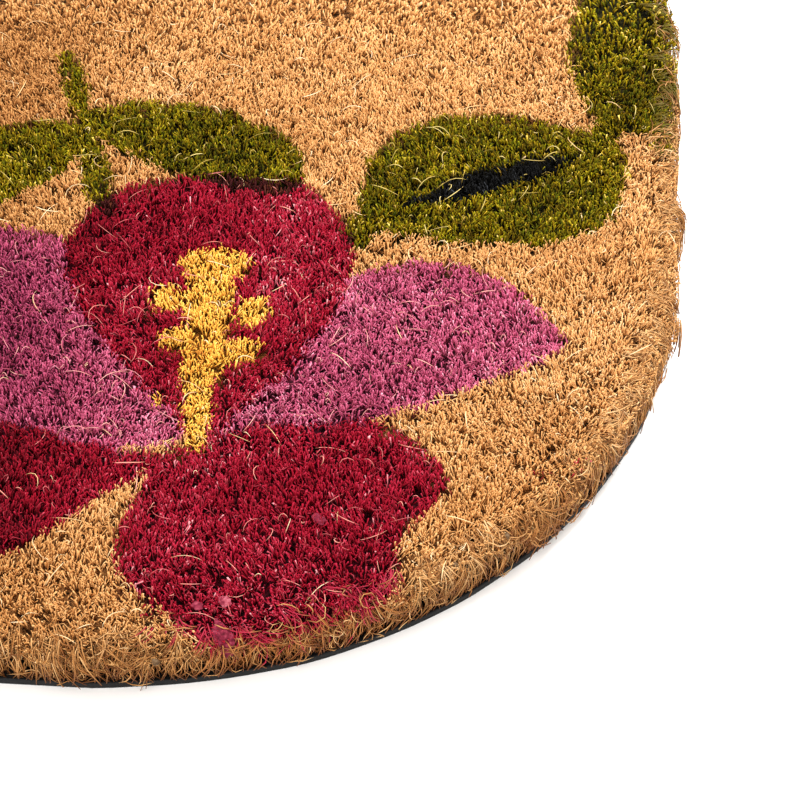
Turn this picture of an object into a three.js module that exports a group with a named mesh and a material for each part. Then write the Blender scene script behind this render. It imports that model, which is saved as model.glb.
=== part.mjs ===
// Coir doormat: a black sheet with the pile standing on it, and a rim of tufts that lean outwards.
// Millimetres. The mat lies flat, +Z up, +X along its long side, the origin under its middle.
import * as THREE from 'three';

// Driving dimensions
const mat = { width: 600, depth: 400, cornerRadius: 150, thickness: 18 };
const backing = { thickness: 2, cornerSteps: 36 };
const bondGap = 0.3;
const pile = { foot: backing.thickness + bondGap, level: mat.thickness - 1.1 };
const finish = {
  blackSheet: { color: 0x1d1e1f, roughness: 0.6, metalness: 0 },
  coir: { color: 0xc08a4e, roughness: 0.95, metalness: 0 },
};

// The rim is cut square and then splays, so each tuft leans out and leaves a furrow beside it.
// up is a level's share of the pile's height. tuft and furrow are how far each stands outside the
// cut line. spread, rise and drift are how much a tuft varies outwards, upwards and sideways.
const tuftCount = 288;
const rimLevels = [
  { up: 0.0, tuft: -0.8, furrow: -2.0, spread: 0.0, rise: 0.0, drift: 0.0 },
  { up: 0.4, tuft: 0.3, furrow: -1.9, spread: 0.5, rise: 0.0, drift: 0.4 },
  { up: 0.84, tuft: 1.0, furrow: -2.5, spread: 0.9, rise: 1.0, drift: 1.0 },
  { up: 0.97, tuft: -3.4, furrow: -4.8, spread: 0.7, rise: 0.3, drift: 0.8 },
];

// The top is a field of clumps, each a little off its place and its height.
const clump = { pitch: 9.5, shift: 2.0, rise: 0.4 };
const topRings = { count: 24, outermost: 0.955, innermost: 0.045 };

// Under the clumps the nap lies in low waves. Each row is one wave across the mat.
const napWaves = [
  { length: 118, bearing: 22, swing: 0.3, start: 0.4 },
  { length: 63, bearing: 101, swing: 0.2, start: 1.9 },
  { length: 41, bearing: -38, swing: 0.14, start: 3.1 },
];

// A number from -1 to 1 that is the same each time for the same place in the mat.
function varied(index, salt) {
  const scrambled = Math.sin(index * 12.9898 + salt * 78.233) * 43758.5453;
  return (scrambled - Math.floor(scrambled)) * 2 - 1;
}

function matOutline() {
  const halfWidth = mat.width / 2;
  const halfDepth = mat.depth / 2;
  const r = mat.cornerRadius;
  const outline = new THREE.Shape();
  outline.moveTo(halfWidth, 0);
  outline.lineTo(halfWidth, halfDepth - r);
  outline.absarc(halfWidth - r, halfDepth - r, r, 0, Math.PI / 2, false);
  outline.lineTo(-halfWidth + r, halfDepth);
  outline.absarc(-halfWidth + r, halfDepth - r, r, Math.PI / 2, Math.PI, false);
  outline.lineTo(-halfWidth, -halfDepth + r);
  outline.absarc(-halfWidth + r, -halfDepth + r, r, Math.PI, Math.PI * 1.5, false);
  outline.lineTo(halfWidth - r, -halfDepth);
  outline.absarc(halfWidth - r, -halfDepth + r, r, Math.PI * 1.5, Math.PI * 2, false);
  outline.lineTo(halfWidth, 0);
  return outline;
}

// Evenly spaced stations round the cut line, each with the directions along it and out of the mat.
function cutLineStations(count) {
  const outline = matOutline();
  outline.arcLengthDivisions = 2000;
  return Array.from({ length: count }, (_, i) => {
    const place = outline.getPointAt(i / count);
    const along = outline.getTangentAt(i / count);
    return { place, along, outward: new THREE.Vector2(along.y, -along.x) };
  });
}

function napHeight(x, y) {
  let height = pile.level;
  for (const { length, bearing, swing, start } of napWaves) {
    const way = THREE.MathUtils.degToRad(bearing);
    const across = x * Math.cos(way) + y * Math.sin(way);
    height += swing * Math.sin((across / length) * 2 * Math.PI + start);
  }
  return height;
}

// One ring of the rim: every even station is a tuft and every odd one the furrow beside it.
function rimRing(level) {
  const height = THREE.MathUtils.lerp(pile.foot, pile.level, level.up);
  return cutLineStations(tuftCount * 2).map(({ place, along, outward }, i) => {
    if (i % 2 === 1) {
      place.addScaledVector(outward, level.furrow);
      return new THREE.Vector3(place.x, place.y, height);
    }
    place.addScaledVector(outward, level.tuft + level.spread * varied(i, 1));
    place.addScaledVector(along, level.drift * varied(i, 2));
    return new THREE.Vector3(place.x, place.y, height + level.rise * varied(i, 3));
  });
}

// One ring of the top. share is its size against the cut line, and its points are a clump apart.
function topRing(share, salt) {
  const count = Math.round((matOutline().getLength() * share) / clump.pitch);
  return cutLineStations(count).map(({ place }, i) => {
    const x = place.x * share + clump.shift * varied(i, salt);
    const y = place.y * share + clump.shift * varied(i, salt + 0.3);
    return new THREE.Vector3(x, y, napHeight(x, y) + clump.rise * varied(i, salt + 0.6));
  });
}

// Joins a ring to the next one inside it, stepping on along whichever of them is behind.
function joinRings(outer, inner, faces) {
  let o = 0;
  let i = 0;
  while (o < outer.length || i < inner.length) {
    const from = outer[o % outer.length];
    const to = inner[i % inner.length];
    const outerIsBehind = (o + 1) / outer.length <= (i + 1) / inner.length;
    if (outerIsBehind) {
      o += 1;
      faces.push([from, outer[o % outer.length], to]);
    } else {
      i += 1;
      faces.push([from, inner[i % inner.length], to]);
    }
  }
}

function closeRing(ring, middle, facesUp, faces) {
  ring.forEach((point, i) => {
    const next = ring[(i + 1) % ring.length];
    faces.push(facesUp ? [point, next, middle] : [next, point, middle]);
  });
}

function pileGeometry() {
  const rings = rimLevels.map(rimRing);
  for (let k = 0; k < topRings.count; k += 1) {
    const inwards = k / (topRings.count - 1);
    const share = THREE.MathUtils.lerp(topRings.outermost, topRings.innermost, inwards);
    rings.push(topRing(share, 10 + k));
  }
  const faces = [];
  for (let k = 0; k + 1 < rings.length; k += 1) {
    joinRings(rings[k], rings[k + 1], faces);
  }
  closeRing(rings[0], new THREE.Vector3(0, 0, pile.foot), false, faces);
  closeRing(rings[rings.length - 1], new THREE.Vector3(0, 0, napHeight(0, 0)), true, faces);
  return new THREE.BufferGeometry().setFromPoints(faces.flat());
}

function backingGeometry() {
  return new THREE.ExtrudeGeometry(matOutline(), {
    depth: backing.thickness,
    bevelEnabled: false,
    curveSegments: backing.cornerSteps,
  });
}

function namedMesh(name, geometry, looks) {
  const mesh = new THREE.Mesh(geometry, new THREE.MeshStandardMaterial(looks));
  mesh.name = name;
  return mesh;
}

const doormat = new THREE.Group();
doormat.add(namedMesh('backing', backingGeometry(), finish.blackSheet));
doormat.add(namedMesh('coir_pile', pileGeometry(), finish.coir));

export default doormat;
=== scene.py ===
import math

import bpy
import numpy as np
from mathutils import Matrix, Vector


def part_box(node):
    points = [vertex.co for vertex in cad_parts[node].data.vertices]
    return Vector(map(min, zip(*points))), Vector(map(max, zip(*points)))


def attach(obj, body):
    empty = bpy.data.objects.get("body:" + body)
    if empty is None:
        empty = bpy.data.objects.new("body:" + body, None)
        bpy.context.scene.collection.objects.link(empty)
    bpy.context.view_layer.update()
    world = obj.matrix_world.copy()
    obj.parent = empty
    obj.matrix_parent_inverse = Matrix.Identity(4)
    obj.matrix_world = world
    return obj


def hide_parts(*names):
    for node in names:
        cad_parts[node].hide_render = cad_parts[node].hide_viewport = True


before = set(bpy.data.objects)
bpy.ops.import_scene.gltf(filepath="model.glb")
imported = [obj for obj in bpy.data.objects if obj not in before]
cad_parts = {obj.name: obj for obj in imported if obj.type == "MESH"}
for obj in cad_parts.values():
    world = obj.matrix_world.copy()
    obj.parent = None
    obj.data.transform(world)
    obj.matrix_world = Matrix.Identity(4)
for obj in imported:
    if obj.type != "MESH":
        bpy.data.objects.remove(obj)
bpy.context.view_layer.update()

# A coir doormat. The tables below are in millimetres, and meshes are made in metres.
mm = 0.001
sheetLow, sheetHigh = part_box("backing")
pileLow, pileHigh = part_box("coir_pile")

mat = {
    "halfWidth": sheetHigh.x / mm,
    "halfDepth": sheetHigh.y / mm,
    "corner": 150.0,
    "sheetTop": sheetHigh.z / mm,
    "pileTop": 16.9,  # where most bristles were shorn off
}


# Small helpers

def linear(hexColour):
    channels = [int(hexColour[i:i + 2], 16) / 255 for i in (1, 3, 5)]
    low = [c / 12.92 for c in channels]
    high = [((c + 0.055) / 1.055) ** 2.4 for c in channels]
    return tuple(h if c > 0.04045 else l for c, l, h in zip(channels, low, high)) + (1.0,)


def addNode(tree, kind, settings=None, sockets=None):
    node = tree.nodes.new(kind)
    for name, value in (settings or {}).items():
        setattr(node, name, value)
    for name, value in (sockets or {}).items():
        if isinstance(value, bpy.types.NodeSocket):
            tree.links.new(value, node.inputs[name])
        else:
            node.inputs[name].default_value = value
    return node


def setRamp(node, stops):
    ramp = node.color_ramp
    while len(ramp.elements) < len(stops):
        ramp.elements.new(0.5)
    for element, (place, colour) in zip(ramp.elements, stops):
        element.position = place
        element.color = linear(colour)


def newMaterial(name):
    material = bpy.data.materials.new(name)
    material.use_nodes = True
    return material, material.node_tree, material.node_tree.nodes["Principled BSDF"]


def smoothNoise(x, y, size, seed):
    # rolling noise from -1 to 1, its hills about size mm apart
    cells = np.random.default_rng(seed).uniform(-1, 1, (97, 97))
    u = x / size + 48.0
    v = y / size + 48.0
    i = np.floor(u).astype(int)
    j = np.floor(v).astype(int)
    fu = u - i
    fv = v - j
    fu = fu * fu * (3 - 2 * fu)
    fv = fv * fv * (3 - 2 * fv)
    i = i % 96
    j = j % 96
    near = cells[i, j] * (1 - fu) + cells[i + 1, j] * fu
    far = cells[i, j + 1] * (1 - fu) + cells[i + 1, j + 1] * fu
    return near * (1 - fv) + far * fv


def insideBy(x, y):
    # how far a point lies inside the cut line, less than nothing outside it
    qx = np.abs(x) - (mat["halfWidth"] - mat["corner"])
    qy = np.abs(y) - (mat["halfDepth"] - mat["corner"])
    round_ = np.hypot(np.maximum(qx, 0), np.maximum(qy, 0))
    return mat["corner"] - round_ - np.minimum(np.maximum(qx, qy), 0)


def outwardAt(x, y):
    # the direction of the nearest edge
    qx = np.maximum(np.abs(x) - (mat["halfWidth"] - mat["corner"]), 0)
    qy = np.maximum(np.abs(y) - (mat["halfDepth"] - mat["corner"]), 0)
    size = np.maximum(np.hypot(qx, qy), 1e-6)
    return np.sign(x) * qx / size, np.sign(y) * qy / size


def cutLine(share):
    # places round the cut line for shares from 0 to 1, and the direction out of the mat at each
    angles = np.concatenate([np.linspace(k, k + 1, 60) * math.pi / 2 for k in range(4)])
    signX = np.repeat([1, -1, -1, 1], 60)
    signY = np.repeat([1, 1, -1, -1], 60)
    outX = np.append(np.cos(angles), 1.0)
    outY = np.append(np.sin(angles), 0.0)
    px = np.append(signX * (mat["halfWidth"] - mat["corner"]), mat["halfWidth"] - mat["corner"])
    py = np.append(signY * (mat["halfDepth"] - mat["corner"]), mat["halfDepth"] - mat["corner"])
    px = px + mat["corner"] * outX
    py = py + mat["corner"] * outY
    run = np.concatenate([[0], np.cumsum(np.hypot(np.diff(px), np.diff(py)))])
    at = share * run[-1]
    lineX = np.interp(at, run, px)
    lineY = np.interp(at, run, py)
    return lineX, lineY, np.interp(at, run, outX), np.interp(at, run, outY)


# The rim's rounded edge. round is its radius and out how far it stands outside the cut line. Its
# tufts are ragged, swells are longer, and soft is the strip in which stray points are drawn in.
shoulder = {
    "round": 4.5, "out": 1.5, "soft": 0.85, "ragged": 1.1, "raggedSize": 6.0, "swell": 1.1, "swellSize": 15.0,
}
cutLength = 4 * (mat["halfWidth"] + mat["halfDepth"]) - (8 - 2 * math.pi) * mat["corner"]


def shoulderDrop(out):
    # how far the rounded edge lies under the pile's level, out mm outside the cut line
    past = np.clip(out - shoulder["out"] + shoulder["round"], 0, 0.999 * shoulder["round"])
    return shoulder["round"] - np.sqrt(shoulder["round"] ** 2 - past ** 2)


def swellAt(x, y):
    return shoulder["swell"] * smoothNoise(x, y, shoulder["swellSize"], 94)


def heldIn(x, y):
    # draws in points that stray out over the cut line
    furthest = shoulder["out"] + shoulder["ragged"] * smoothNoise(x, y, shoulder["raggedSize"], 93) + swellAt(x, y)
    past = np.maximum(shoulder["soft"] - insideBy(x, y) - furthest, 0)
    back = past - shoulder["soft"] * np.tanh(past / shoulder["soft"])
    outX, outY = outwardAt(x, y)
    return x - outX * back, y - outY * back


def foldOver(along, run, furthest, top):
    # places on the skin of the rim: run is the way past the start of the rounded edge, down the side
    turned = np.clip(run / shoulder["round"], 0, math.pi / 2)
    out = furthest - shoulder["round"] * (1 - np.sin(turned)) + np.minimum(run, 0)
    down = shoulder["round"] * (1 - np.cos(turned))
    down = down + np.maximum(run - shoulder["round"] * math.pi / 2, 0)
    x, y, outX, outY = cutLine((along / cutLength) % 1.0)
    out = out + np.clip(run / shoulder["round"], 0, 1) * swellAt(x, y)
    return np.stack([x + outX * out, y + outY * out, np.maximum(top - down, 0.4)], -1)


# The print: an open five-petalled flower with leaves, drawn by formula
# A blade runs from foot to tip. left and right are its half widths, full is where it is widest,
# sharp is how pointed its ends are, and wave is the depth, count and start of its edge's waves.
# A patch is a round place. Dyes later in the list of dyes cover earlier ones, and within a dye later rows cover earlier
# ones.
blades = [
    ("rose", (176, -128), (271, -85), 48, 1, 0.66, 0.8, (0.01, 5, 0.5)),
    ("rose", (176, -128), (271, -85), 1, 8.5, 0.3, 0.7, (0.01, 5, 0.5)),
    ("rose", (168, -128), (76, -72), 30, 44, 0.68, 0.52, (0.02, 5, 1.5)),
    ("green", (212, -41), (285, 1), 36.5, 1, 0.43, 0.8, (0.012, 6, 0.3)),
    ("green", (210, -41), (285, 1), 1, 29.0, 0.62, 0.97, (0.02, 4, 0.1)),
    ("green", (288, 6), (290, 100), 21.5, 14, 0.45, 0.6, (0.0, 0, 0.0)),
    ("green", (190, -25.5), (122, 4.0), 8.4, 22.5, 0.42, 0.5, (0.02, 5, 0.0)),
    ("green", (131, 2), (58, -30), 23.8, 10, 0.5, 0.88, (0.03, 5, 0.0)),
    ("green", (129, -2), (139, -40), 1.1, 6.6, 0.55, 0.45, (0.0, 0, 0.0)),
    ("green", (126, -2), (114, 34), 3.5, 3.5, 0.5, 0.4, (0.0, 0, 0.0)),
    ("crimson", (174, -132), (155, -22), 33.0, 22, 0.72, 0.92, (0.015, 4, 0.0)),
    ("crimson", (176, -132), (187, -21), 24, 25.8, 0.66, 0.98, (0.015, 4, 0.0)),
    ("crimson", (168, -134), (87, -166), 22.0, 34.0, 0.72, 0.95, (0.03, 5, 0.4)),
    ("vein", (219, -31), (271, -4), 5.2, 4.8, 0.6, 1.1, (0.1, 3, 0.0)),
    ("yellow", (173.5, -131), (169.5, -52), 6.0, 6.0, 0.75, 0.25, (0.05, 3, 0.0)),
]
patches = [
    ("crimson", (194, -159), (37.0, 38.0), (0.03, 6, 0.9)),
    ("crimson", (212.5, -138.5), (27.0, 20.5), (0.02, 5, 0.3)),
    ("crimson", (172, -46), (28.0, 26.5), (0.015, 7, 0.2)),
    ("green", (210.5, -42.5), (4.2, 6.5), (0.0, 0, 0.0)),
    ("green", (287.5, 14.5), (12.0, 9.0), (0.04, 5, 0.0)),
    ("green", (280.5, 8.0), (5.5, 4.6), (0.0, 0, 0.0)),
    ("green", (296.5, 2), (3.5, 4.5), (0.0, 0, 0.0)),
    ("yellow", (158.9, -73), (5.2, 5.2), (0.0, 0, 0.0)),
    ("yellow", (182.5, -77.5), (4.5, 6.0), (0.0, 0, 0.0)),
    ("yellow", (164.0, -89.5), (4.8, 4.6), (0.0, 0, 0.0)),
    ("yellow", (181.0, -93.5), (5.6, 5.2), (0.0, 0, 0.0)),
    ("yellow", (166.5, -58.5), (5.4, 5.2), (0.0, 0, 0.0)),
    ("yellow", (175.5, -58.5), (4.8, 5.6), (0.0, 0, 0.0)),
    ("yellow", (160.0, -112), (1.1, 4.2), (0.0, 0, 0.0)),
]
# Specks are places where drops of crimson fell: centre, radius and the share of bristles hit.
specks = [
    ((264, -133), 3.0, 0.2),
    ((276, -131), 3.5, 0.15),
    ((280, -139), 2.5, 0.15),
    ((246, -176), 3.0, 0.2),
    ((160, -151), 2.5, 0.35),
    ((171, -190), 5.0, 0.2),
]
dyes = ["natural", "rose", "green", "crimson", "vein", "yellow", "overlap"]
drift = {"coarse": 2.2, "fine": 1.1, "single": 0.75, "coarseSize": 9.0, "fineSize": 3.2}


def inBlade(x, y, foot, tip, left, right, full, sharp, wave):
    runX = tip[0] - foot[0]
    runY = tip[1] - foot[1]
    length = math.hypot(runX, runY)
    s = ((x - foot[0]) * runX + (y - foot[1]) * runY) / length ** 2
    across = ((y - foot[1]) * runX - (x - foot[0]) * runY) / length
    c = np.clip(s, 0, 1)
    swell = (c / full) ** (2 * sharp * full) * ((1 - c) / (1 - full)) ** (2 * sharp * (1 - full))
    swell = swell * (1 + wave[0] * np.sin(2 * math.pi * (wave[1] * c + wave[2])))
    return (s > 0) & (s < 1) & (across < left * swell) & (-across < right * swell)


def inPatch(x, y, centre, radii, wave):
    u = (x - centre[0]) / radii[0]
    v = (y - centre[1]) / radii[1]
    edge = 1 + wave[0] * np.sin(wave[1] * np.arctan2(v, u) + 2 * math.pi * wave[2])
    return np.hypot(u, v) < edge


def dyeAt(x, y):
    # the number in dyes of what was printed at each place
    found = np.zeros(len(x), int)
    green = np.zeros(len(x), bool)
    crimson = np.zeros(len(x), bool)
    rows = [(dye, inBlade(x, y, *rest)) for dye, *rest in blades]
    rows += [(dye, inPatch(x, y, *rest)) for dye, *rest in patches]
    for dye, here in sorted(rows, key=lambda row: dyes.index(row[0])):
        found[here] = dyes.index(dye)
        green |= here & (dye == "green")
        crimson |= here & (dye == "crimson")
    found[green & crimson & (found == dyes.index("crimson"))] = dyes.index("overlap")
    return found


def raggedDyeAt(x, y, rng):
    # the same with the print's uneven edge, where the colour ran or missed a bristle
    sideX = drift["coarse"] * smoothNoise(x, y, drift["coarseSize"], 31)
    sideX += drift["fine"] * smoothNoise(x, y, drift["fineSize"], 32)
    sideY = drift["coarse"] * smoothNoise(x, y, drift["coarseSize"], 33)
    sideY += drift["fine"] * smoothNoise(x, y, drift["fineSize"], 34)
    single = drift["single"] * rng.standard_normal((2, len(x)))
    found = dyeAt(x + 0.5 * sideX + single[0], y + 0.5 * sideY + single[1])
    for centre, radius, share in specks:
        hit = np.hypot(x - centre[0], y - centre[1]) < radius
        found[hit & (rng.random(len(x)) < share)] = dyes.index("crimson")
    return found


# The part round the flower, where bristles are finest: 1 past low in both ways, and 0 fall mm short of it
nearPart = {"low": (108, 20), "fall": 66.0}

# Fibres. Every one reads its shade from one of 16 columns of its own map, with its root at the foot
# of the column and its tip at the head.
paletteColumns = 16


def meshFromArrays(name, verts, faces, u, v):
    # verts is (fibre, corner, xyz) in mm, faces is one fibre's triangles, u and v are per face corner
    count, perFibre = verts.shape[:2]
    corners = (faces[None] + (np.arange(count) * perFibre)[:, None, None]).reshape(-1)
    mesh = bpy.data.meshes.new(name)
    mesh.vertices.add(count * perFibre)
    mesh.vertices.foreach_set("co", (verts * mm).astype(np.float32).ravel())
    mesh.loops.add(len(corners))
    mesh.loops.foreach_set("vertex_index", corners.astype(np.int32))
    mesh.polygons.add(len(corners) // 3)
    mesh.polygons.foreach_set("loop_start", np.arange(0, len(corners), 3, dtype=np.int32))
    mesh.update(calc_edges=True)
    uvs = mesh.uv_layers.new(name="OFBake")
    uvs.data.foreach_set("uv", np.stack([u, v], -1).astype(np.float32).ravel())
    piece = bpy.data.objects.new(name, mesh)
    bpy.context.scene.collection.objects.link(piece)
    return piece


def bristleMesh(name, roots, tips, radii, turns, columns):
    # straight cut bristles: a buried point, and a three-cornered cut end that lies level
    count = len(roots)
    verts = np.empty((count, 4, 3))
    verts[:, 0] = roots
    for corner in range(3):
        angle = turns + corner * 2 * math.pi / 3
        verts[:, 1 + corner] = tips
        verts[:, 1 + corner, 0] += radii * np.cos(angle)
        verts[:, 1 + corner, 1] += radii * np.sin(angle)
        verts[:, 1 + corner, 2] += 0.5 * radii * np.sin(2.3 * turns + corner)
    faces = np.array([(1, 2, 3), (0, 2, 1), (0, 3, 2), (0, 1, 3)])
    across = np.array([0.12, 0.88, 0.5, 0.5, 0.88, 0.12, 0.5, 0.12, 0.88, 0.5, 0.12, 0.88])
    up = np.array([0.99, 0.99, 0.92, 0.01, 0.99, 0.99, 0.01, 0.99, 0.99, 0.01, 0.99, 0.99])
    u = (columns[:, None] + across[None]) / paletteColumns
    return meshFromArrays(name, verts, faces, u, np.broadcast_to(up, u.shape))


def fibreMesh(name, lines, radii, turns, columns):
    # bent fibres: lines is (fibre, level, xyz) in mm with the tip last, radii leaves out the tip
    count, levels = lines.shape[0], lines.shape[1] - 1
    along = np.gradient(lines, axis=1)[:, :levels]
    along /= np.linalg.norm(along, axis=2, keepdims=True)
    side = np.stack([np.cos(turns), np.sin(turns), 0.31 * np.ones(count)], 1)[:, None, :]
    first = np.cross(along, side)
    first /= np.linalg.norm(first, axis=2, keepdims=True)
    second = np.cross(along, first)
    verts = np.empty((count, 3 * levels + 1, 3))
    for corner in range(3):
        angle = corner * 2 * math.pi / 3
        ring = math.cos(angle) * first + math.sin(angle) * second
        verts[:, corner:3 * levels:3] = lines[:, :levels] + radii[..., None] * ring
    verts[:, -1] = lines[:, -1]
    faces = [(0, 2, 1)]
    for level in range(levels - 1):
        for corner in range(3):
            a = 3 * level + corner
            b = 3 * level + (corner + 1) % 3
            faces += [(a, b, b + 3), (a, b + 3, a + 3)]
    top = 3 * (levels - 1)
    faces += [(top + c, top + (c + 1) % 3, 3 * levels) for c in range(3)]
    faces = np.array(faces)
    across = np.tile([0.12, 0.5, 0.88], levels).tolist() + [0.5]
    up = np.repeat(np.arange(levels), 3).tolist() + [levels]
    across = np.array(across)[faces.reshape(-1)]
    up = np.array(up)[faces.reshape(-1)] / levels
    up[0:3] = (0.0, 0.02, 0.0)
    u = (columns[:, None] + across[None]) / paletteColumns
    return meshFromArrays(name, verts, faces, u, 0.01 + 0.98 * np.broadcast_to(up, u.shape))


def finishPiece(piece, material):
    piece.data.materials.clear()
    piece.data.materials.append(material)
    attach(piece, "root")
    return piece


# Coir fibre, retted husk, undyed or sprayed with dye from above
# It gives the eye dry, matt strands that are dark at the root and paler at the cut tip. That darkening,
# the depth shade ramps, is painted shade deep in the pile; on dyed fibre it also stands for the dye
# thinning towards the root.
coirLooks = {
    "natural": {
        "slot": "coir_natural", "sheen": 0.25,
        "shades": [(0.0, "#a06a34"), (0.25, "#c48c4e"), (0.55, "#d9a466"), (0.85, "#e2b57a"), (1.0, "#eecb98")],
        "depthShade": [(0.0, "#b89068"), (0.5, "#e8d6c0"), (0.85, "#faf2ea"), (1.0, "#ffffff")],
    },
    "rose": {
        "slot": "coir_rose", "sheen": 0.15,
        "shades": [(0.0, "#7a2242"), (0.4, "#b2486a"), (0.75, "#d06a8a"), (1.0, "#eeaabe")],
        "depthShade": [(0.0, "#6a3c3c"), (0.5, "#bca09c"), (0.85, "#f0e4e4"), (1.0, "#ffffff")],
    },
    "green": {
        "slot": "coir_green", "sheen": 0.06,
        "shades": [(0.0, "#161402"), (0.18, "#2e3602"), (0.32, "#5a4602"), (0.48, "#565a04"), (0.62, "#8a6e06"),
                   (0.76, "#8e8a0c"), (0.88, "#c8a630"), (1.0, "#f4da76")],
        "depthShade": [(0.0, "#544428"), (0.5, "#b0a080"), (0.85, "#ece4d0"), (1.0, "#ffffff")],
    },
    "crimson": {
        "slot": "coir_crimson", "sheen": 0.1,
        "shades": [(0.0, "#5a0212"), (0.4, "#920420"), (0.7, "#aa1c38"), (0.86, "#c04a5c"), (1.0, "#e8a2a6")],
        "depthShade": [(0.0, "#643030"), (0.5, "#b89090"), (0.85, "#f0e0e0"), (1.0, "#ffffff")],
    },
    "yellow": {
        "slot": "coir_yellow", "sheen": 0.2,
        "shades": [(0.0, "#bc7a2c"), (0.35, "#eab044"), (0.75, "#f6c858"), (1.0, "#fae084")],
        "depthShade": [(0.0, "#8a5c34"), (0.5, "#d0b08c"), (0.85, "#f6ecdc"), (1.0, "#ffffff")],
    },
    "dark": {
        "slot": "coir_dark", "sheen": 0.08,
        "shades": [(0.0, "#030303"), (0.36, "#0c0b0a"), (0.47, "#34363a"), (0.5, "#1a0306"), (0.8, "#40100e"),
                   (1.0, "#6a361c")],
        "depthShade": [(0.0, "#808080"), (0.5, "#c0c0c0"), (0.85, "#f0f0f0"), (1.0, "#ffffff")],
    },
    "rim": {
        "slot": "coir_natural", "sheen": 0.25,
        "shades": [(0.0, "#9c6c38"), (0.2, "#c49056"), (0.4, "#dab07a"), (0.58, "#f0d6ac"),
                   (0.62, "#c08448"), (0.85, "#dca86c"), (1.0, "#be9050")],
        # painted shade: darkest at each fibre's first point, which is the root by the sheet on rim fibres and the
        # hanging end near the floor on locks
        "depthShade": [(0.0, "#846040"), (0.35, "#c8b090"), (0.8, "#f2e8da"), (1.0, "#ffffff")],
    },
    "stray": {
        "slot": "coir_natural", "sheen": 0.3,
        "shades": [(0.0, "#f2cf96"), (0.24, "#fdedc8"), (0.26, "#d88a92"), (0.49, "#f2bcb0"),
                   (0.51, "#b8a040"), (0.74, "#e6d488"), (0.76, "#c04858"), (1.0, "#eaa090")],
        "depthShade": [(0.0, "#e0d0c0"), (1.0, "#ffffff")],
    },
}


def coirMaterial(name, look, tips=()):
    material, tree, shader = newMaterial(name)
    place = addNode(tree, "ShaderNodeUVMap", {"uv_map": "OFBake"})
    parts = addNode(tree, "ShaderNodeSeparateXYZ", {}, {0: place.outputs["UV"]})
    column = addNode(tree, "ShaderNodeMath", {"operation": "SNAP"},
                     {0: parts.outputs["X"], 1: 1 / paletteColumns})
    shade = addNode(tree, "ShaderNodeMath", {"operation": "MULTIPLY"},
                    {0: column.outputs[0], 1: paletteColumns / (paletteColumns - 1)})
    shades = addNode(tree, "ShaderNodeValToRGB", {}, {0: shade.outputs[0]})
    setRamp(shades, look["shades"])
    # painted shade: the colour darkens towards each fibre's first point, the foot of its column
    depthShade = addNode(tree, "ShaderNodeValToRGB", {}, {0: parts.outputs["Y"]})
    setRamp(depthShade, look["depthShade"])
    colour = addNode(tree, "ShaderNodeMix", {"data_type": "RGBA", "blend_type": "MULTIPLY"},
                     {0: 1.0, 6: shades.outputs[0], 7: depthShade.outputs[0]}).outputs[2]
    for first, last, start, dye in tips:  # columns whose tips caught the dye
        ramp = addNode(tree, "ShaderNodeValToRGB", {}, {0: parts.outputs["Y"]})
        setRamp(ramp, [(start, "#000000"), (start + 0.2, "#ffffff")])
        above = addNode(tree, "ShaderNodeMath", {"operation": "GREATER_THAN"},
                        {0: parts.outputs["X"], 1: first / paletteColumns})
        below = addNode(tree, "ShaderNodeMath", {"operation": "LESS_THAN"},
                        {0: parts.outputs["X"], 1: last / paletteColumns})
        both = addNode(tree, "ShaderNodeMath", {"operation": "MULTIPLY"},
                       {0: above.outputs[0], 1: below.outputs[0]})
        share = addNode(tree, "ShaderNodeMath", {"operation": "MULTIPLY"},
                        {0: both.outputs[0], 1: ramp.outputs[0]})
        colour = addNode(tree, "ShaderNodeMix", {"data_type": "RGBA"},
                         {0: share.outputs[0], 6: colour, 7: linear(dye)}).outputs[2]
    tree.links.new(colour, shader.inputs["Base Color"])
    gloss = addNode(tree, "ShaderNodeMapRange", {}, {0: shade.outputs[0], 3: 0.72, 4: 0.5})
    tree.links.new(gloss.outputs[0], shader.inputs["Roughness"])
    shader.inputs["Specular IOR Level"].default_value = look["sheen"]
    return material


def nearness(x, y):
    away = np.hypot(np.maximum(nearPart["low"][0] - x, 0), np.maximum(y - nearPart["low"][1], 0))
    part = np.clip(1 - away / nearPart["fall"], 0, 1)
    return part * part * (3 - 2 * part)


def shadeColumns(x, y, rng, low=0, high=paletteColumns - 1, deepen=0.0):
    # neighbouring fibres share some of their shade, the rest is each fibre's own
    spread = 0.5 + 0.13 * smoothNoise(x, y, 24.0, 51) + 0.1 * smoothNoise(x, y, 5.0, 52)
    spread = spread + 0.18 * rng.standard_normal(len(x))
    # the left petals took more dye, and the coir beside them is made darker towards the left
    spread = spread - deepen * np.clip((146 - x) / 32, 0, 1) * nearness(x, y)
    return np.clip(low + np.round(spread * (high - low)), low, high).astype(int)


print("print and fibres are set out")


# The backing: a sheet of soft black PVC, poured flat and cut with the pile
backing = {"thickness": mat["sheetTop"], "cornerSteps": 48, "roundEdge": 0.35, "wobble": 0.35}


def deselectAll():
    bpy.ops.object.select_all(action="DESELECT")


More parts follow.
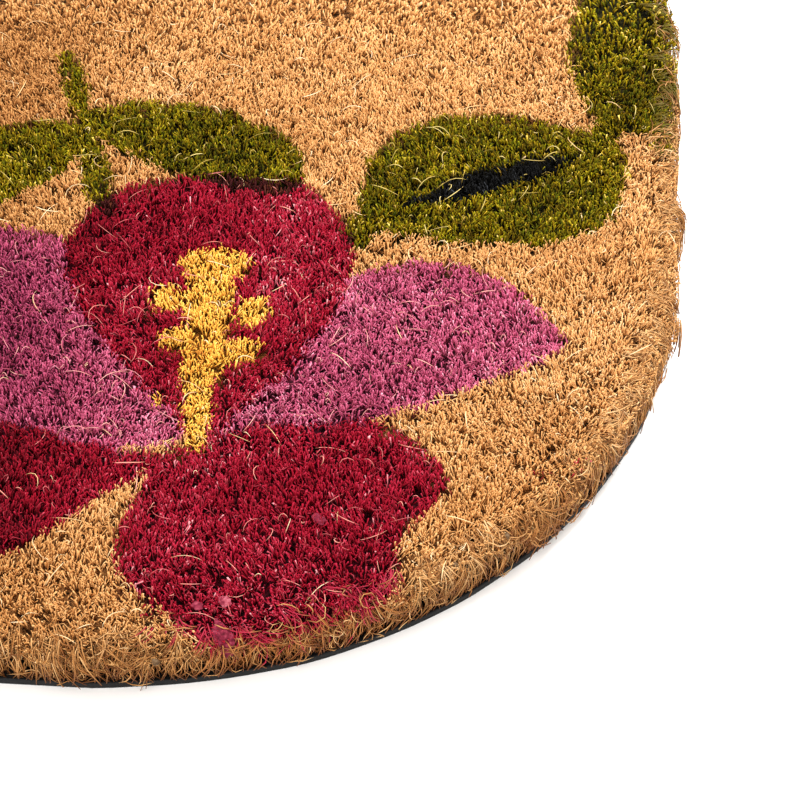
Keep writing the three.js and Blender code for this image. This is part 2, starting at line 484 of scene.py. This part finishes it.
def roundedSlab(name, inset, low, high, steps):
    # a plane cut to the mat's outline and drawn up to a slab
    deselectAll()
    bpy.ops.mesh.primitive_plane_add(size=1.0, location=(0, 0, low * mm))
    slab = bpy.context.object
    slab.name = slab.data.name = name
    slab.scale = (2 * (mat["halfWidth"] - inset) * mm, 2 * (mat["halfDepth"] - inset) * mm, 1)
    bpy.ops.object.transform_apply(location=True, rotation=False, scale=True)
    bpy.ops.object.mode_set(mode="EDIT")
    bpy.ops.mesh.select_all(action="SELECT")
    bpy.ops.mesh.bevel(affect="VERTICES", offset=(mat["corner"] - inset) * mm, segments=steps)
    bpy.ops.mesh.select_all(action="SELECT")
    bpy.ops.mesh.extrude_region_move(TRANSFORM_OT_translate={"value": (0, 0, (high - low) * mm)})
    bpy.ops.mesh.select_all(action="SELECT")
    bpy.ops.mesh.normals_make_consistent(inside=False)
    bpy.ops.object.mode_set(mode="OBJECT")
    return slab


def makeBacking():
    sheet = roundedSlab("backing_sheet", 0.0, 0.0, backing["thickness"], backing["cornerSteps"])
    bpy.ops.object.mode_set(mode="EDIT")
    bpy.ops.mesh.select_all(action="SELECT")
    bpy.ops.mesh.bevel(affect="EDGES", offset=backing["roundEdge"] * mm, segments=2)
    bpy.ops.object.mode_set(mode="OBJECT")
    co = np.empty(3 * len(sheet.data.vertices))
    sheet.data.vertices.foreach_get("co", co)
    co = co.reshape(-1, 3)
    x, y = co[:, 0] / mm, co[:, 1] / mm
    outX, outY = outwardAt(x, y)
    push = backing["wobble"] * (smoothNoise(x, y, 14.0, 71) - 0.6) * mm
    co[:, 0] += outX * push
    co[:, 1] += outY * push
    sheet.data.vertices.foreach_set("co", co.ravel())
    sheet.data.update()
    return sheet


def sheetMaterial():
    # foamed black PVC with a fine pebbled skin: a dull satin black
    material, tree, shader = newMaterial("pvcPouredBlack")
    place = addNode(tree, "ShaderNodeTexCoord")
    pebble = addNode(tree, "ShaderNodeTexNoise", {}, {"Vector": place.outputs["Object"], "Scale": 900.0,
                                                     "Detail": 3.0, "Roughness": 0.6})
    wear = addNode(tree, "ShaderNodeTexNoise", {}, {"Vector": place.outputs["Object"], "Scale": 45.0, "Detail": 4.0})
    tone = addNode(tree, "ShaderNodeValToRGB", {}, {0: wear.outputs[0]})
    setRamp(tone, [(0.35, "#060606"), (0.7, "#101011")])
    tree.links.new(tone.outputs[0], shader.inputs["Base Color"])
    gloss = addNode(tree, "ShaderNodeMapRange", {}, {0: pebble.outputs[0], 3: 0.5, 4: 0.75})
    tree.links.new(gloss.outputs[0], shader.inputs["Roughness"])
    shader.inputs["Specular IOR Level"].default_value = 0.25
    bump = addNode(tree, "ShaderNodeBump", {}, {"Strength": 0.5, "Distance": 0.0004, "Height": pebble.outputs[0]})
    tree.links.new(bump.outputs[0], shader.inputs["Normal"])
    return material


backingSheet = finishPiece(makeBacking(), sheetMaterial())
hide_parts("backing")
print("backing sheet is made")


# The pile: tufts of bristles over the whole mat
# Bristles are finest round the flower. Further off fewer and stouter ones stand for the same pile.
pile = {
    "pitch": 2.6, "jitter": 0.34, "keepIn": 0.5,
    "nearCount": 13.0, "farCount": 1.75, "radius": 0.195, "tuftRadius": 1.5,
    "tipPull": 0.8, "tipScatter": 0.35, "flow": 0.2, "flowSize": 38.0, "tuftLean": 0.22, "ownLean": 0.32,
    "rimLean": 0.75, "rimReach": 7.0, "rootLevel": 12.0, "swell": 0.3, "swellSize": 60.0, "dip": 0.35,
    "dipSize": 8.0, "shortShare": 0.22, "shortBy": 2.2, "tallShare": 0.05, "tallBy": 0.8,
}


# The bed: the close-packed lower part of the pile, which shows dark between the tufts.
# Its colours are the coir's darker tones with painted shade for the gaps. It stands higher and paler,
# with less painted shade, where the bristles are fewer.
bed = {"inset": 2.4, "top": 12.9, "farRise": 1.2, "voxel": 5.5, "lump": 0.7, "lumpSize": 7.0}


def makeBed():
    slab = roundedSlab("coir_bed", bed["inset"], mat["sheetTop"] + 0.1, bed["top"], 32)
    cut = slab.modifiers.new("voxels", "REMESH")
    cut.mode = "VOXEL"
    cut.voxel_size = bed["voxel"] * mm
    bpy.ops.object.modifier_apply(modifier=cut.name)
    mesh = slab.data
    co = np.empty(3 * len(mesh.vertices))
    mesh.vertices.foreach_get("co", co)
    co = co.reshape(-1, 3)
    x, y, z = co[:, 0] / mm, co[:, 1] / mm, co[:, 2] / mm
    upper = np.clip((z - 8) / 3, 0, 1)
    inner = np.clip(insideBy(x, y) / 6 - 0.5, 0, 1)
    co[:, 2] += upper * inner * bed["farRise"] * (1 - nearness(x, y)) * mm
    lumps = smoothNoise(x, y, bed["lumpSize"], 61) + 0.6 * smoothNoise(x, y, 2.9, 62)
    co[:, 2] += upper * bed["lump"] * lumps * mm
    mesh.vertices.foreach_set("co", co.ravel())
    mesh.update()
    return slab


# each dye's colour in the lower pile, darker than its bristles with painted shade for the gaps between tufts; far is
# the paler colour where few bristles stand
bedColours = {
    "natural": "#9a683a", "far": "#a26e3e", "rose": "#66263a", "green": "#26220a", "crimson": "#480815",
    "vein": "#0a0908", "yellow": "#8e5c22", "overlap": "#2a0c0c",
}


def colourBed(piece):
    mesh = piece.data
    co = np.empty(3 * len(mesh.vertices))
    mesh.vertices.foreach_get("co", co)
    co = co.reshape(-1, 3) / mm
    found = dyeAt(co[:, 0], co[:, 1])
    found[co[:, 2] < 8.0] = 0
    table = np.array([linear(bedColours[name]) for name in dyes])
    far = np.array(linear(bedColours["far"]))
    share = (1 - nearness(co[:, 0], co[:, 1])) * (found == 0) * np.clip((co[:, 2] - 8) / 4, 0, 1)
    colours = table[found] * (1 - share)[:, None] + far * share[:, None]
    layer = mesh.color_attributes.new("dye", "FLOAT_COLOR", "POINT")
    layer.data.foreach_set("color", colours.astype(np.float32).ravel())


def bedMaterial():
    # packed coir roots out of the light: brown, rough and streaked, their colour darkened with painted shade
    material, tree, shader = newMaterial("coirRootsPacked")
    place = addNode(tree, "ShaderNodeTexCoord")
    dye = addNode(tree, "ShaderNodeVertexColor", {"layer_name": "dye"})
    strands = addNode(tree, "ShaderNodeTexNoise", {}, {"Vector": place.outputs["Object"], "Scale": 700.0,
                                                      "Detail": 3.0, "Roughness": 0.75})
    tone = addNode(tree, "ShaderNodeValToRGB", {}, {0: strands.outputs[0]})
    setRamp(tone, [(0.42, "#404040"), (0.58, "#ffffff")])
    colour = addNode(tree, "ShaderNodeMix", {"data_type": "RGBA", "blend_type": "MULTIPLY"},
                     {0: 1.0, 6: dye.outputs[0], 7: tone.outputs[0]})
    tree.links.new(colour.outputs[2], shader.inputs["Base Color"])
    bump = addNode(tree, "ShaderNodeBump", {}, {"Strength": 1.0, "Distance": 0.0008, "Height": strands.outputs[0]})
    tree.links.new(bump.outputs[0], shader.inputs["Normal"])
    shader.inputs["Roughness"].default_value = 0.9
    shader.inputs["Specular IOR Level"].default_value = 0.1
    return material


coirBed = makeBed()
colourBed(coirBed)
finishPiece(coirBed, bedMaterial())
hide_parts("coir_pile")
print("bed is made,", len(coirBed.data.polygons), "faces")


def tuftPlaces(rng):
    stepY = pile["pitch"] * math.sqrt(3) / 2
    rows = np.arange(-mat["halfDepth"], mat["halfDepth"], stepY)
    columns = np.arange(-mat["halfWidth"], mat["halfWidth"], pile["pitch"])
    y, x = np.meshgrid(rows, columns, indexing="ij")
    x = x + (np.arange(len(rows)) % 2)[:, None] * pile["pitch"] / 2
    x = x.ravel() + pile["jitter"] * pile["pitch"] * rng.standard_normal(x.size)
    y = y.ravel() + pile["jitter"] * pile["pitch"] * rng.standard_normal(y.size)
    keep = insideBy(x, y) > pile["keepIn"]
    return x[keep], y[keep]


def leanAt(x, y):
    leanX = pile["flow"] * smoothNoise(x, y, pile["flowSize"], 41)
    leanY = pile["flow"] * smoothNoise(x, y, pile["flowSize"], 42)
    outX, outY = outwardAt(x, y)
    edge = pile["rimLean"] * np.exp(-insideBy(x, y) / pile["rimReach"])
    return leanX + outX * edge, leanY + outY * edge


def levelAt(x, y):
    level = mat["pileTop"] + pile["swell"] * smoothNoise(x, y, pile["swellSize"], 43)
    return level + pile["dip"] * smoothNoise(x, y, pile["dipSize"], 44)


def pileBristles(rng):
    tuftX, tuftY = tuftPlaces(rng)
    near = nearness(tuftX, tuftY)
    wanted = pile["farCount"] + (pile["nearCount"] - pile["farCount"]) * near
    counts = np.floor(wanted + rng.random(len(wanted))).astype(int)
    leanX, leanY = leanAt(tuftX, tuftY)
    leanX += pile["tuftLean"] * rng.standard_normal(len(tuftX))
    leanY += pile["tuftLean"] * rng.standard_normal(len(tuftX))
    of = np.repeat(np.arange(len(tuftX)), counts)
    number = len(of)
    angle = rng.uniform(0, 2 * math.pi, number)
    out = pile["tuftRadius"] * np.sqrt(rng.random(number))
    awayX = out * np.cos(angle)
    awayY = out * np.sin(angle)
    tipZ = levelAt(tuftX, tuftY)[of] - 0.3 * np.abs(rng.standard_normal(number))
    tipZ -= (rng.random(number) < pile["shortShare"]) * pile["shortBy"] * rng.random(number)
    tipZ += (rng.random(number) < pile["tallShare"]) * pile["tallBy"] * rng.random(number)
    tall = tipZ - pile["rootLevel"]  # before the edge is rounded
    own = pile["ownLean"] * rng.standard_normal((2, number))
    scatter = pile["tipScatter"] * rng.standard_normal((2, number))
    roots = np.stack([tuftX[of] + awayX, tuftY[of] + awayY, np.full(number, pile["rootLevel"])], 1)
    tipX = tuftX[of] + pile["tipPull"] * awayX + (leanX[of] + own[0]) * tall + scatter[0]
    tipY = tuftY[of] + pile["tipPull"] * awayY + (leanY[of] + own[1]) * tall + scatter[1]
    tipX, tipY = heldIn(tipX, tipY)
    tipZ -= shoulderDrop(-insideBy(tipX, tipY))
    radii = pile["radius"] * np.sqrt(pile["nearCount"] / wanted[of])
    radii = radii * np.exp(0.25 * rng.standard_normal(number))
    return roots, np.stack([tipX, tipY, tipZ], 1), radii, rng.uniform(0, 2 * math.pi, number)


def splitPiece(name, chosen, most=49000):
    # the parts of a piece that keep each under the limit of faces
    parts = math.ceil(len(chosen) / most)
    return [(f"{name}_{k + 1}" if parts > 1 else name, part)
            for k, part in enumerate(np.array_split(chosen, parts))]


materials = {name: coirMaterial("coir" + name.capitalize(), look) for name, look in coirLooks.items()
             if name != "rim"}
rng = np.random.default_rng(7)
roots, tips, radii, turns = pileBristles(rng)
found = raggedDyeAt(tips[:, 0], tips[:, 1], rng)
columns = shadeColumns(tips[:, 0], tips[:, 1], rng)
for name, deepen in (("natural", 0.32), ("rose", 0.3), ("crimson", 0.6)):
    part = found == dyes.index(name)
    columns[part] = shadeColumns(tips[part, 0], tips[part, 1], rng, deepen=deepen)
overlap = found == dyes.index("overlap")
vein = found == dyes.index("vein")
columns[vein] = columns[vein] // 2
columns[overlap] = 8 + columns[overlap] // 2
groups = {name: np.flatnonzero(found == dyes.index(name)) for name in ("natural", "rose", "green", "crimson", "yellow")}
groups["dark"] = np.flatnonzero(overlap | vein)
for name, chosen in groups.items():
    if name == "natural":
        chosen = chosen[np.argsort(tips[chosen, 0], kind="stable")]
    for partName, part in splitPiece("coir_" + name, chosen):
        piece = bristleMesh(partName, roots[part], tips[part], radii[part], turns[part], columns[part])
        finishPiece(piece, materials[name])
        print(partName, len(part), "bristles")


# The rim: the outermost bristles, seen from root to tip. They are crooked and cross each other.
rim = {
    "nearPerMm": 4.6, "farPerMm": 2.5, "inset": 2.6, "sway": 2.2, "bend": 1.9, "out": 1.3, "bow": 0.9,
    "radius": 0.17, "top": 16.4, "topVaries": 3.4,
}
rimLevels = (0.0, 0.36, 0.72, 1.0)


def rimPlaces(rng, nearPerMm, farPerMm):
    # places along the cut line in mm, closer together round the flower, and how many were wanted there
    along = rng.random(int(nearPerMm * cutLength)) * cutLength
    x, y, outX, outY = cutLine(along / cutLength)
    wanted = (farPerMm + (nearPerMm - farPerMm) * nearness(x, y)) / nearPerMm
    keep = rng.random(len(along)) < wanted
    return along[keep], wanted[keep]


def rimFibres(rng):
    along, wanted = rimPlaces(rng, rim["nearPerMm"], rim["farPerMm"])
    number = len(along)
    inset = rim["inset"] * rng.random(number)
    outer = 1 - inset / rim["inset"]
    sway = rim["sway"] * rng.standard_normal(number)
    bend = rim["bend"] * rng.standard_normal(number)
    out = rim["out"] * (outer * rng.uniform(0.2, 1.6, number) + 0.4 * rng.standard_normal(number))
    bow = rim["bow"] * (0.7 * outer + 0.6 * rng.standard_normal(number))
    x, y, outX, outY = cutLine(along / cutLength)
    tipX, tipY = heldIn(x + outX * (out - inset), y + outY * (out - inset))
    top = rim["top"] - rim["topVaries"] * rng.random(number) ** 1.5
    top -= shoulderDrop(-insideBy(tipX, tipY))
    lines = np.empty((number, len(rimLevels), 3))
    for k, up in enumerate(rimLevels):
        hump = math.sin(math.pi * up)
        x, y, outX, outY = cutLine(((along + sway * up + bend * hump) / cutLength) % 1.0)
        push = -inset - 0.1 + out * up ** 1.4 + bow * hump
        lines[:, k, 0], lines[:, k, 1] = heldIn(x + outX * push, y + outY * push)
        lines[:, k, 2] = mat["sheetTop"] - 0.1 + up * (top - mat["sheetTop"])
    radii = rim["radius"] * rng.uniform(0.7, 1.25, (number, 1)) * np.array([[1.0, 1.0, 0.85]])
    return lines, radii * wanted[:, None] ** -0.4, rng.uniform(0, 2 * math.pi, number)


def rimColumns(x, y, dyed, rng):
    # Undyed fibres take the first ten columns. Then come three each for crimson and green, by how
    # much of the fibre caught the dye, a share from 0 to 1.
    found = raggedDyeAt(x, y, rng)
    columns = shadeColumns(x, y, rng, 0, 9)
    for dye, first in (("crimson", 10), ("green", 13)):
        here = (found == dyes.index(dye)) & (dyed > 0.12)
        columns[here] = first + np.clip(dyed[here] * 3, 0, 2).astype(int)
    return columns


rng = np.random.default_rng(11)
lines, radii, turns = rimFibres(rng)
columns = rimColumns(lines[:, 3, 0], lines[:, 3, 1], rng.uniform(0.13, 0.8, len(lines)) ** 1.5, rng)
rimMaterial = coirMaterial("coirRim", coirLooks["rim"], [
    (10, 11, 0.7, "#960c24"), (11, 12, 0.42, "#8c0a20"), (12, 13, 0.1, "#a01834"),
    (13, 14, 0.7, "#5c4e04"), (14, 15, 0.42, "#625a04"), (15, 16, 0.1, "#5a4a02"),
])
rimPiece = fibreMesh("coir_rim", lines, radii, turns, columns)
finishPiece(rimPiece, rimMaterial)
print("coir_rim", len(lines), "bristles")


# Curls: bristles bent over at the top of the pile
curl = {"count": 4000, "nearShare": 0.8, "root": 12.5, "reach": (1.2, 5.0), "radius": 0.14, "turn": 1.2}


def curlFibres(rng):
    number = curl["count"]
    x = rng.uniform(-mat["halfWidth"], mat["halfWidth"], 8 * number)
    y = rng.uniform(-mat["halfDepth"], mat["halfDepth"], 8 * number)
    chance = (1 - curl["nearShare"]) * 0.4 + curl["nearShare"] * nearness(x, y)
    keep = np.flatnonzero((insideBy(x, y) > 1.5) & (rng.random(len(x)) < chance))[:number]
    x, y = x[keep], y[keep]
    number = len(keep)
    heading = rng.uniform(0, 2 * math.pi, number)
    turn = curl["turn"] * rng.standard_normal(number)
    reach = rng.uniform(*curl["reach"], number)
    level = levelAt(x, y) + rng.uniform(-0.5, 0.5, number)
    lines = np.empty((number, 4, 3))
    lines[:, 0] = np.stack([x, y, np.full(number, curl["root"])], 1)
    for k, (share, drop) in enumerate([(0.12, 0.25), (0.6, -0.25), (1.0, 0.35)]):
        way = heading + turn * share
        lines[:, k + 1, 0] = x + reach * share * np.cos(way)
        lines[:, k + 1, 1] = y + reach * share * np.sin(way)
        lines[:, k + 1, 2] = level - drop * (1 + 0.3 * reach * share)
    radii = curl["radius"] * rng.uniform(0.75, 1.25, (number, 1)) * np.array([[1.0, 1.0, 0.9]])
    return lines, radii, rng.uniform(0, 2 * math.pi, number)


rng = np.random.default_rng(17)
lines, radii, turns = curlFibres(rng)
found = raggedDyeAt(lines[:, 2, 0], lines[:, 2, 1], rng)
columns = shadeColumns(lines[:, 2, 0], lines[:, 2, 1], rng, 4, 15)
reds = found == dyes.index("crimson")
columns[reds] = 9 + columns[reds] // 3
for name in ("natural", "rose", "green", "crimson"):
    part = np.flatnonzero(found == dyes.index(name))
    piece = fibreMesh("curls_" + name, lines[part], radii[part], turns[part], columns[part])
    finishPiece(piece, materials[name])
    print("curls_" + name, len(part), "bristles")


# Locks: longer bristles near the edge that lie outwards side by side and hang down over the rim
lock = {
    "nearPerMm": 0.72, "farPerMm": 0.16, "fibres": 8, "start": (-5.5, 3.0), "long": (6.5, 17.0), "aside": 0.27,
    "turn": 0.5, "spread": 0.9, "ownAside": 0.14, "ownTurn": 0.28, "furthest": (0.2, 1.9), "ragged": 1.5,
    "raggedSize": 7.0, "top": 17.0, "topVaries": 1.3, "radius": 0.165, "sink": 4.0, "lowest": (15.0, 19.2),
    "dyedTo": (3.5, 8.0),
}
# Locks that the photo shows: where along the cut line, start, length, heading, turn, fibres, spread
# and the column of the rim's shades.
ownLocks = [
    (-219.7, -5.0, 14.0, -0.16, -0.1, 20, 1.5, 9),
    (-236.9, -0.4, 13.5, 0.24, -0.2, 18, 1.3, 9),
    (-260.7, 0.2, 11.0, 0.0, 0.2, 12, 0.9, 12),
    (-276.0, 1.0, 12.0, -0.2, 0.5, 9, 0.8, 12),
]


def lockFibres(rng):
    along, wanted = rimPlaces(rng, lock["nearPerMm"], lock["farPerMm"])
    number = len(along)
    rows = np.stack([
        along, rng.uniform(*lock["start"], number), rng.uniform(*lock["long"], number),
        lock["aside"] * (rng.standard_normal(number) + smoothNoise(along, 0 * along, 21.0, 91)),
        lock["turn"] * rng.standard_normal(number), np.full(number, lock["fibres"]),
        np.full(number, lock["spread"]), np.full(number, -1.0), wanted ** -0.4,
    ], 1)
    rows = np.concatenate([rows, [row + (1.0,) for row in ownLocks]])
    rows = np.repeat(rows, rows[:, 5].astype(int), axis=0)
    number = len(rows)
    place = rows[:, 0] + rows[:, 6] * rng.standard_normal(number)
    run = rows[:, 1] + rng.uniform(-1.2, 1.2, number)
    length = rows[:, 2] * rng.uniform(0.65, 1.1, number)
    heading = rows[:, 3] + lock["ownAside"] * rng.standard_normal(number)
    turn = rows[:, 4] + lock["ownTurn"] * rng.standard_normal(number)
    furthest = rng.uniform(*lock["furthest"], number)
    furthest += lock["ragged"] * smoothNoise(rows[:, 0], 0 * place + 7, lock["raggedSize"], 92)
    top = lock["top"] - lock["topVaries"] * rng.random(number) ** 1.5
    lowest = rng.uniform(*lock["lowest"], number)
    dyedTo = rng.uniform(*lock["dyedTo"], number)
    dyed = np.zeros(number)
    lines = np.empty((number, 5, 3))
    startX, startY, startZ = foldOver(place, run, furthest, top).T
    for k in range(5):  # from the hanging tip, the first level, back to the root
        lines[:, 4 - k] = foldOver(place, np.minimum(run, lowest), furthest, top)
        dyed += (run < dyedTo) / 5
        way = heading + turn * k / 2
        place = place + np.sin(way) * length / 4
        run = run + np.cos(way) * length / 4
    lines[:, 4, 2] -= lock["sink"]
    radii = lock["radius"] * rng.uniform(0.7, 1.25, (number, 1)) * np.array([[0.85, 1.0, 1.0, 1.0]])
    columns = rimColumns(startX, startY, dyed, rng)
    chosen = rows[:, 7] >= 0
    columns[chosen] = rows[chosen, 7].astype(int) - rng.integers(0, 2, int(chosen.sum()))
    return lines, radii * rows[:, 8:9], rng.uniform(0, 2 * math.pi, number), columns


# Tangles: short curly bristles caught on the rim, lying every way
tangle = {
    "nearPerMm": 1.2, "farPerMm": 0.2, "start": (-1.0, 15.0), "long": (4.0, 10.0), "turn": 1.3,
    "furthest": (1.3, 2.2), "top": 17.0, "radius": 0.14,
}


def tangleFibres(rng):
    place, wanted = rimPlaces(rng, tangle["nearPerMm"], tangle["farPerMm"])
    number = len(place)
    run = rng.uniform(*tangle["start"], number)
    length = rng.uniform(*tangle["long"], number)
    heading = rng.uniform(0, 2 * math.pi, number)
    turn = tangle["turn"] * rng.standard_normal(number)
    furthest = rng.uniform(*tangle["furthest"], number)
    startX, startY, startZ = foldOver(place, run, furthest, tangle["top"]).T
    lines = np.empty((number, 5, 3))
    for k in range(5):
        lines[:, k] = foldOver(place, np.minimum(run, 16.0), furthest - 0.25 * abs(k - 2), tangle["top"])
        way = heading + turn * (k - 2) / 2
        place = place + np.sin(way) * length / 4
        run = run + np.cos(way) * length / 4
    radii = tangle["radius"] * rng.uniform(0.75, 1.25, (number, 1)) * np.array([[0.85, 1.0, 1.0, 0.9]])
    columns = shadeColumns(startX, startY, rng, 2, 9)
    return lines, radii, rng.uniform(0, 2 * math.pi, number), columns


rng = np.random.default_rng(19)
for name, make in (("coir_locks", lockFibres), ("coir_tangles", tangleFibres)):
    lines, radii, turns, columns = make(rng)
    piece = fibreMesh(name, lines, radii, turns, columns)
    finishPiece(piece, rimMaterial)
    print(name, len(lines), "bristles")


# Flakes of coconut husk that stuck to the pile, where the photo shows the larger ones
# Each row has the place along the cut line, run over the rim's skin, length, width, turn and look.
flakes = [
    (-297.0, 2.4, 12.5, 4.2, 0.15, "dyed"),
    (-302.5, -8.6, 3.4, 2.6, 0.9, "dyed"),
    (-294.8, -8.6, 4.0, 3.2, 0.4, "pale"),
    (-314.1, 7.2, 2.6, 1.9, 0.2, "bare"),
    (-259.1, -28.0, 4.4, 3.2, 0.7, "dyed"),
    (-233.4, 3.5, 2.1, 1.1, 0.5, "bare"),
    (-217.1, 3.0, 2.0, 1.1, -0.3, "bare"),
]
flakeLooks = {
    "dyed": [(0.3, "#440614"), (0.52, "#6e1a2e"), (0.75, "#963e4e")],
    "pale": [(0.3, "#5e1024"), (0.5, "#86303f"), (0.75, "#b46a74")],
    "bare": [(0.3, "#3c2a1a"), (0.55, "#604830"), (0.8, "#84705a")],
}


def flakeMaterial(name, stops):
    # dry pith torn from the husk: soft, matt and finely grained
    material, tree, shader = newMaterial(name)
    place = addNode(tree, "ShaderNodeTexCoord")
    grain = addNode(tree, "ShaderNodeTexNoise", {}, {"Vector": place.outputs["Object"], "Scale": 900.0, "Detail": 4.0})
    tone = addNode(tree, "ShaderNodeValToRGB", {}, {0: grain.outputs[0]})
    setRamp(tone, stops)
    tree.links.new(tone.outputs[0], shader.inputs["Base Color"])
    bump = addNode(tree, "ShaderNodeBump", {}, {"Strength": 0.8, "Distance": 0.0003, "Height": grain.outputs[0]})
    tree.links.new(bump.outputs[0], shader.inputs["Normal"])
    shader.inputs["Roughness"].default_value = 0.85
    shader.inputs["Specular IOR Level"].default_value = 0.15
    return material


def makeFlake(name, number, along, run, length, width, turn):
    # a flattened ball with a torn edge, laid over the rim's skin
    deselectAll()
    bpy.ops.mesh.primitive_ico_sphere_add(subdivisions=3, radius=1.0, location=(0, 0, 0))
    flake = bpy.context.object
    flake.name = flake.data.name = name
    co = np.empty(3 * len(flake.data.vertices))
    flake.data.vertices.foreach_get("co", co)
    co = co.reshape(-1, 3)
    torn = 1 + 0.28 * smoothNoise(40 * co[:, 0], 40 * co[:, 1], 12.0, 200 + number)
    down = co[:, 0] * torn * length / 2
    aside = co[:, 1] * torn * width / 2
    thick = 0.3 * co[:, 2] + 0.35 * smoothNoise(down, aside, 2.5, 220 + number)
    placeAt = along + math.cos(turn) * aside + math.sin(turn) * down
    runAt = run + math.cos(turn) * down - math.sin(turn) * aside
    skin = foldOver(placeAt, runAt, 1.7 + thick, 16.7 + thick)
    flake.data.vertices.foreach_set("co", (skin * mm).astype(np.float32).ravel())
    flake.data.update()
    return flake


flakeMaterials = {name: flakeMaterial("huskPith" + name.capitalize(), stops) for name, stops in flakeLooks.items()}
for number, (*placing, look) in enumerate(flakes):
    flake = makeFlake(f"husk_flake_{number + 1}", number, *placing)
    finishPiece(flake, flakeMaterials[look])
print("husk flakes are made")


# Strays: single pale fibres that lie on the pile
stray = {
    "count": 1200, "nearShare": 0.7, "levels": 6, "radius": 0.115, "long": (5.0, 13.0), "small": (2.5, 5.0), "smallShare": 0.45,
    "longTurn": 0.7, "smallTurn": 1.9, "low": 15.9, "rise": 1.7,
}


def strayFibres(rng):
    number = stray["count"]
    x = rng.uniform(-mat["halfWidth"], mat["halfWidth"], 8 * number)
    y = rng.uniform(-mat["halfDepth"], mat["halfDepth"], 8 * number)
    chance = (1 - stray["nearShare"]) * 0.5 + stray["nearShare"] * nearness(x, y)
    keep = np.flatnonzero((insideBy(x, y) > 2.0) & (rng.random(len(x)) < chance))[:number]
    heading = rng.uniform(0, 2 * math.pi, number)
    small = rng.random(number) < stray["smallShare"]
    length = np.where(small, rng.uniform(*stray["small"], number), rng.uniform(*stray["long"], number))
    turn = np.where(small, stray["smallTurn"], stray["longTurn"]) * rng.standard_normal(number)
    rise = stray["rise"] * rng.uniform(0.3, 1.1, number)
    start = stray["low"] + rng.uniform(-0.3, 0.6, number)
    lines = np.empty((number, stray["levels"], 3))
    px = x[keep].copy()
    py = y[keep].copy()
    for k in range(stray["levels"]):
        t = k / (stray["levels"] - 1)
        lines[:, k] = np.stack([px, py, start + rise * math.sin(math.pi * t)], 1)
        px += np.cos(heading + turn * (t - 0.5) * 2) * length / stray["levels"]
        py += np.sin(heading + turn * (t - 0.5) * 2) * length / stray["levels"]
    taper = np.array([0.6, 0.9, 1.0, 0.95, 0.75])
    radii = stray["radius"] * rng.uniform(0.75, 1.3, (number, 1)) * taper[None]
    return lines, radii, rng.uniform(0, 2 * math.pi, number)


rng = np.random.default_rng(13)
lines, radii, turns = strayFibres(rng)
found = dyeAt(lines[:, 3, 0], lines[:, 3, 1])
ownGroup = np.array([0, 4, 8, 12, 8, 0, 12])[found]
columns = ownGroup + rng.integers(0, 4, len(found))
plain = rng.random(len(found)) < 0.08
columns[plain] = rng.integers(0, 4, int(plain.sum()))
strays = fibreMesh("coir_strays", lines, radii, turns, columns)
finishPiece(strays, materials["stray"])
print("coir_strays", len(lines), "fibres")


# The studio: a pale floor, a soft key from behind the right, and a camera over the mat's corner
studio = {
    "aim": (0.225, -0.093, 0.0), "camera": (0.2614, -0.6387, 0.5471), "pitch": 45.0, "turn": 3.81, "lens": 126.0,
    "floor": "#f4f3f1", "world": "#fbf8f4", "worldStrength": 1.34,
}
lamps = [
    # name, degrees from straight behind towards the right, height in degrees, distance, size, watts
    ("key", 38, 50, 0.9, 0.36, 10.4),
    ("fill", 205, 40, 2.6, 1.8, 50.0),
]


def makeStudio():
    deselectAll()
    bpy.ops.mesh.primitive_plane_add(size=8.0, location=(0, 0, 0))
    floor = bpy.context.object
    floor.name = "floor"
    material, tree, shader = newMaterial("paperMatt")
    shader.inputs["Base Color"].default_value = linear(studio["floor"])
    shader.inputs["Roughness"].default_value = 0.9
    floor.data.materials.append(material)
    world = bpy.data.worlds.new("studio")
    world.use_nodes = True
    world.node_tree.nodes["Background"].inputs[0].default_value = linear(studio["world"])
    world.node_tree.nodes["Background"].inputs[1].default_value = studio["worldStrength"]
    bpy.context.scene.world = world
    for name, bearing, height, distance, size, watts in lamps:
        light = bpy.data.lights.new(name, "AREA")
        light.size = size
        light.energy = watts
        lamp = bpy.data.objects.new(name, light)
        bearing = math.radians(bearing)
        height = math.radians(height)
        lamp.location = (
            studio["aim"][0] + distance * math.cos(height) * math.sin(bearing),
            studio["aim"][1] + distance * math.cos(height) * math.cos(bearing),
            distance * math.sin(height),
        )
        lamp.rotation_euler = (math.pi / 2 - height, 0, math.pi - bearing)
        bpy.context.scene.collection.objects.link(lamp)
    camera = bpy.data.objects.new("camera", bpy.data.cameras.new("camera"))
    camera.data.lens = studio["lens"]
    camera.location = studio["camera"]
    camera.rotation_euler = (math.radians(90 - studio["pitch"]), 0, math.radians(studio["turn"]))
    bpy.context.scene.collection.objects.link(camera)
    bpy.context.scene.camera = camera
    bpy.context.scene.view_settings.view_transform = "Standard"


makeStudio()
print("studio is set")
